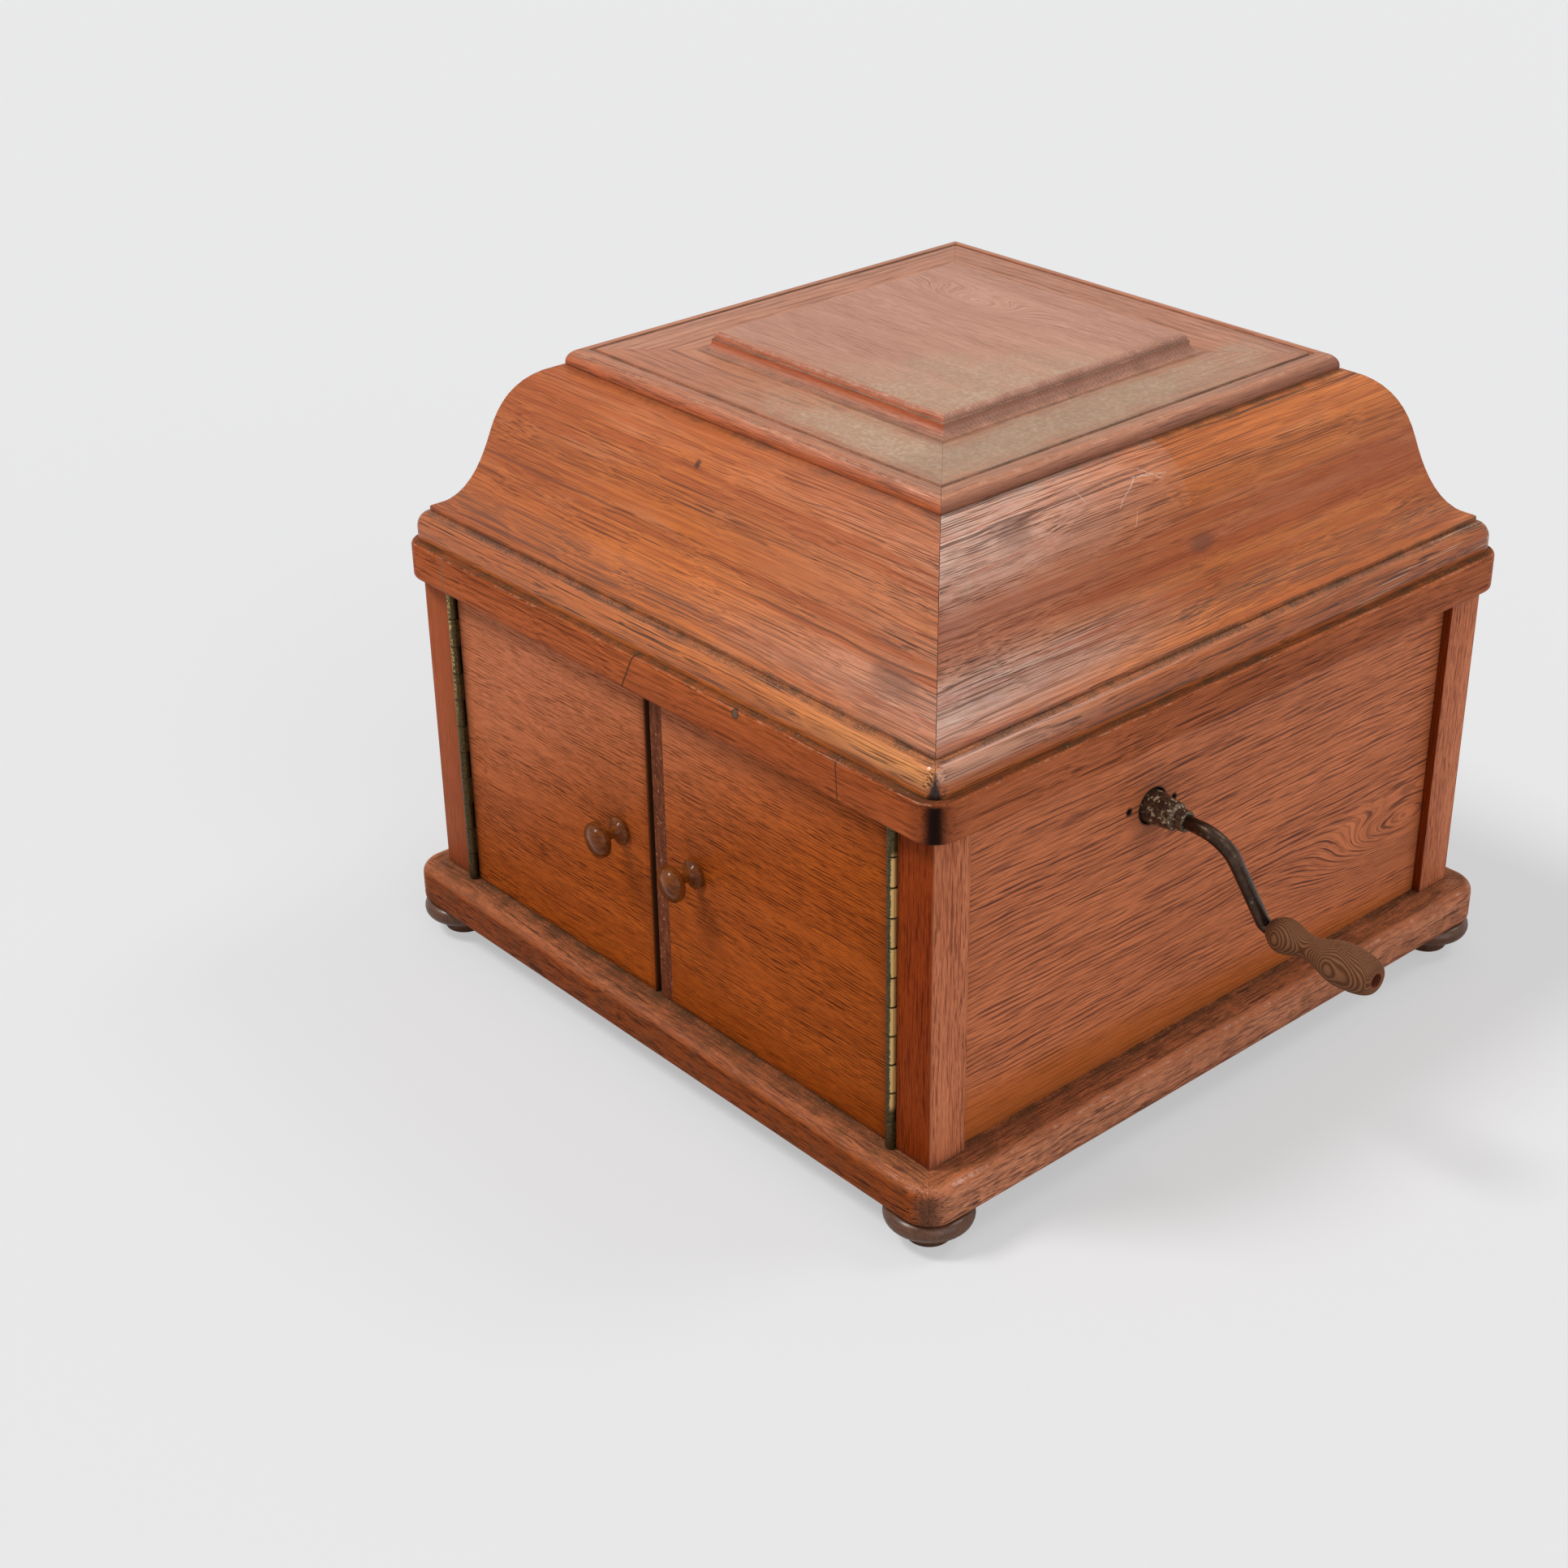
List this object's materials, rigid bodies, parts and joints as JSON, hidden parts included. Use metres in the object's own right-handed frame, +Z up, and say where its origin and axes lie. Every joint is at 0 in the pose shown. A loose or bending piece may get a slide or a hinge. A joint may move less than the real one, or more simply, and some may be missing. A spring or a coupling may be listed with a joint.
{
  "type": "table gramophone",
  "caption": "Table gramophone in aged wood: hinged ogee lid, twin front doors over a folded horn, side winding crank, spring motor, turntable and tone arm.",
  "frame": {"origin": "on the floor under the middle of the bounding box", "axes": "+X to the right seen from the doors, where the crank is; +Y to the back; +Z up"},
  "size_m": [0.5064, 0.4184, 0.3448],
  "materials": {
    "oak": "aged wax",
    "turned_wood": "gloss varnish",
    "inner_wood": "bare",
    "scraped_wood": "rough, stained",
    "grip_wood": "weathered",
    "brass": "tarnished",
    "bronze": "dark bronze",
    "steel": "brushed",
    "nickel": "nickel plate",
    "iron": "japanned",
    "felt": "felt",
    "mica": "mica sheet"
  },
  "bodies": {
    "cabinet": {"feet": "turned_wood", "plinth_rails": "oak", "base_board": "inner_wood", "corner_posts": "oak", "side_panel_left": "oak", "side_panel_right": "oak", "back_panel": "oak", "rim_rails": "oak", "baffle_board": "inner_wood", "horn_roof": "inner_wood", "horn_sides": "inner_wood", "throat_elbow": "iron", "motor_board": "inner_wood", "board_cleats": "inner_wood", "door_hinge_post_leaves": "brass", "hinge_pins": "steel", "lid_hinge_lower": "brass", "motor_top_plate": "steel", "motor_bottom_plate": "steel", "motor_pillars": "steel", "motor_bolts": "steel", "motor_spacers": "iron", "winding_bracket": "iron", "governor_bracket": "iron", "tonearm_base": "iron", "needle_cups": "brass"},
    "left_door": {"door_left": "oak", "door_left_knob": "turned_wood", "door_left_hinge": "brass"},
    "right_door": {"door_right": "oak", "door_right_knob": "turned_wood", "door_right_hinge": "brass", "door_scraped_strip": "scraped_wood"},
    "lid": {"lid_base_frame": "oak", "lid_ogee_boards": "oak", "lid_tray_frame": "oak", "lid_panel": "oak", "lid_hinge_upper": "brass", "lid_stay": "steel"},
    "winding": {"winding_shaft": "steel"},
    "crank": {"crank_ferrule": "bronze", "crank_arm": "bronze"},
    "grip": {"crank_grip": "grip_wood"},
    "winding_gear": {"winding_wheel": "brass"},
    "barrel": {"spring_barrel": "steel", "barrel_cap": "steel", "mainspring": "steel"},
    "intermediate": {"intermediate_arbor": "brass"},
    "platter": {"turntable_spindle": "steel", "turntable": "steel", "turntable_mat": "felt"},
    "governor": {"governor_shaft": "brass", "governor_springs": "steel"},
    "tone_arm": {"tonearm_tube": "nickel"},
    "sound_head": {"gooseneck": "nickel", "sound_box": "nickel", "diaphragm": "mica", "needle_bar": "steel"},
    "brake": {"brake_lever": "steel"},
    "speed_control": {"speed_dial": "iron"}
  },
  "joints": [
    {"name": "door_left_swing", "type": "hinge", "parent": "cabinet", "child": "left_door", "pos_m": [-0.2111, -0.1929, 0.1264], "axis": [0, 0, -1], "range_deg": [0, 170]},
    {"name": "door_right_swing", "type": "hinge", "parent": "cabinet", "child": "right_door", "pos_m": [0.1194, -0.1929, 0.1264], "axis": [0, 0, 1], "range_deg": [0, 170]},
    {"name": "lid_open", "type": "hinge", "parent": "cabinet", "child": "lid", "pos_m": [-0.04585, 0.19835, 0.2338], "axis": [-1, 0, 0], "range_deg": [0, 75]},
    {"name": "winding_turn", "type": "hinge", "parent": "cabinet", "child": "winding", "pos_m": [0.1444, -0.0463, 0.1729], "axis": [1, 0, 0], "continuous": true},
    {"name": "crank_pull", "type": "slide", "parent": "winding", "child": "crank", "axis": [1, 0, 0], "range_m": [0, 0.05]},
    {"name": "grip_spin", "type": "hinge", "parent": "crank", "child": "grip", "pos_m": [0.2232, -0.02035, 0.11969], "axis": [1, 0, 0], "continuous": true},
    {"name": "winding_wheel_turn", "type": "hinge", "parent": "cabinet", "child": "winding_gear", "pos_m": [-0.00085, -0.0463, 0.1729], "axis": [0, 0, 1], "continuous": true},
    {"name": "turntable_turn", "type": "hinge", "parent": "cabinet", "child": "platter", "pos_m": [-0.07085, -0.03, 0.2345], "axis": [0, 0, 1], "continuous": true},
    {"name": "barrel_turn", "type": "hinge", "parent": "cabinet", "child": "barrel", "pos_m": [-0.00085, -0.0463, 0.142], "axis": [0, 0, 1], "continuous": true},
    {"name": "intermediate_turn", "type": "hinge", "parent": "cabinet", "child": "intermediate", "pos_m": [-0.03842, -0.02388, 0.162], "axis": [0, 0, 1], "continuous": true},
    {"name": "governor_turn", "type": "hinge", "parent": "cabinet", "child": "governor", "pos_m": [-0.09485, -0.03, 0.163], "axis": [1, 0, 0], "continuous": true},
    {"name": "tonearm_swing", "type": "hinge", "parent": "cabinet", "child": "tone_arm", "pos_m": [0.0594, 0.12515, 0.27], "axis": [0, 0, -1], "range_deg": [0, 30]},
    {"name": "sound_box_turn", "type": "hinge", "parent": "tone_arm", "child": "sound_head", "pos_m": [0.0594, 0.12515, 0.27], "axis": [-0.0698, 0.9976, 0], "range_deg": [0, 110]},
    {"name": "brake_swing", "type": "hinge", "parent": "cabinet", "child": "brake", "pos_m": [-0.17885, -0.1341, 0.224], "axis": [0, 0, 1], "range_deg": [0, 7.5]},
    {"name": "speed_turn", "type": "hinge", "parent": "cabinet", "child": "speed_control", "pos_m": [0.0964, -0.14415, 0.224], "axis": [0, 0, 1], "range_deg": [0, 270]}
  ],
  "couplings": [
    {"joint": "winding_wheel_turn", "follows": "winding_turn", "ratio": 0.25},
    {"joint": "intermediate_turn", "follows": "turntable_turn", "ratio": -0.25},
    {"joint": "barrel_turn", "follows": "turntable_turn", "ratio": 0.041667},
    {"joint": "governor_turn", "follows": "turntable_turn", "ratio": 6}
  ]
}
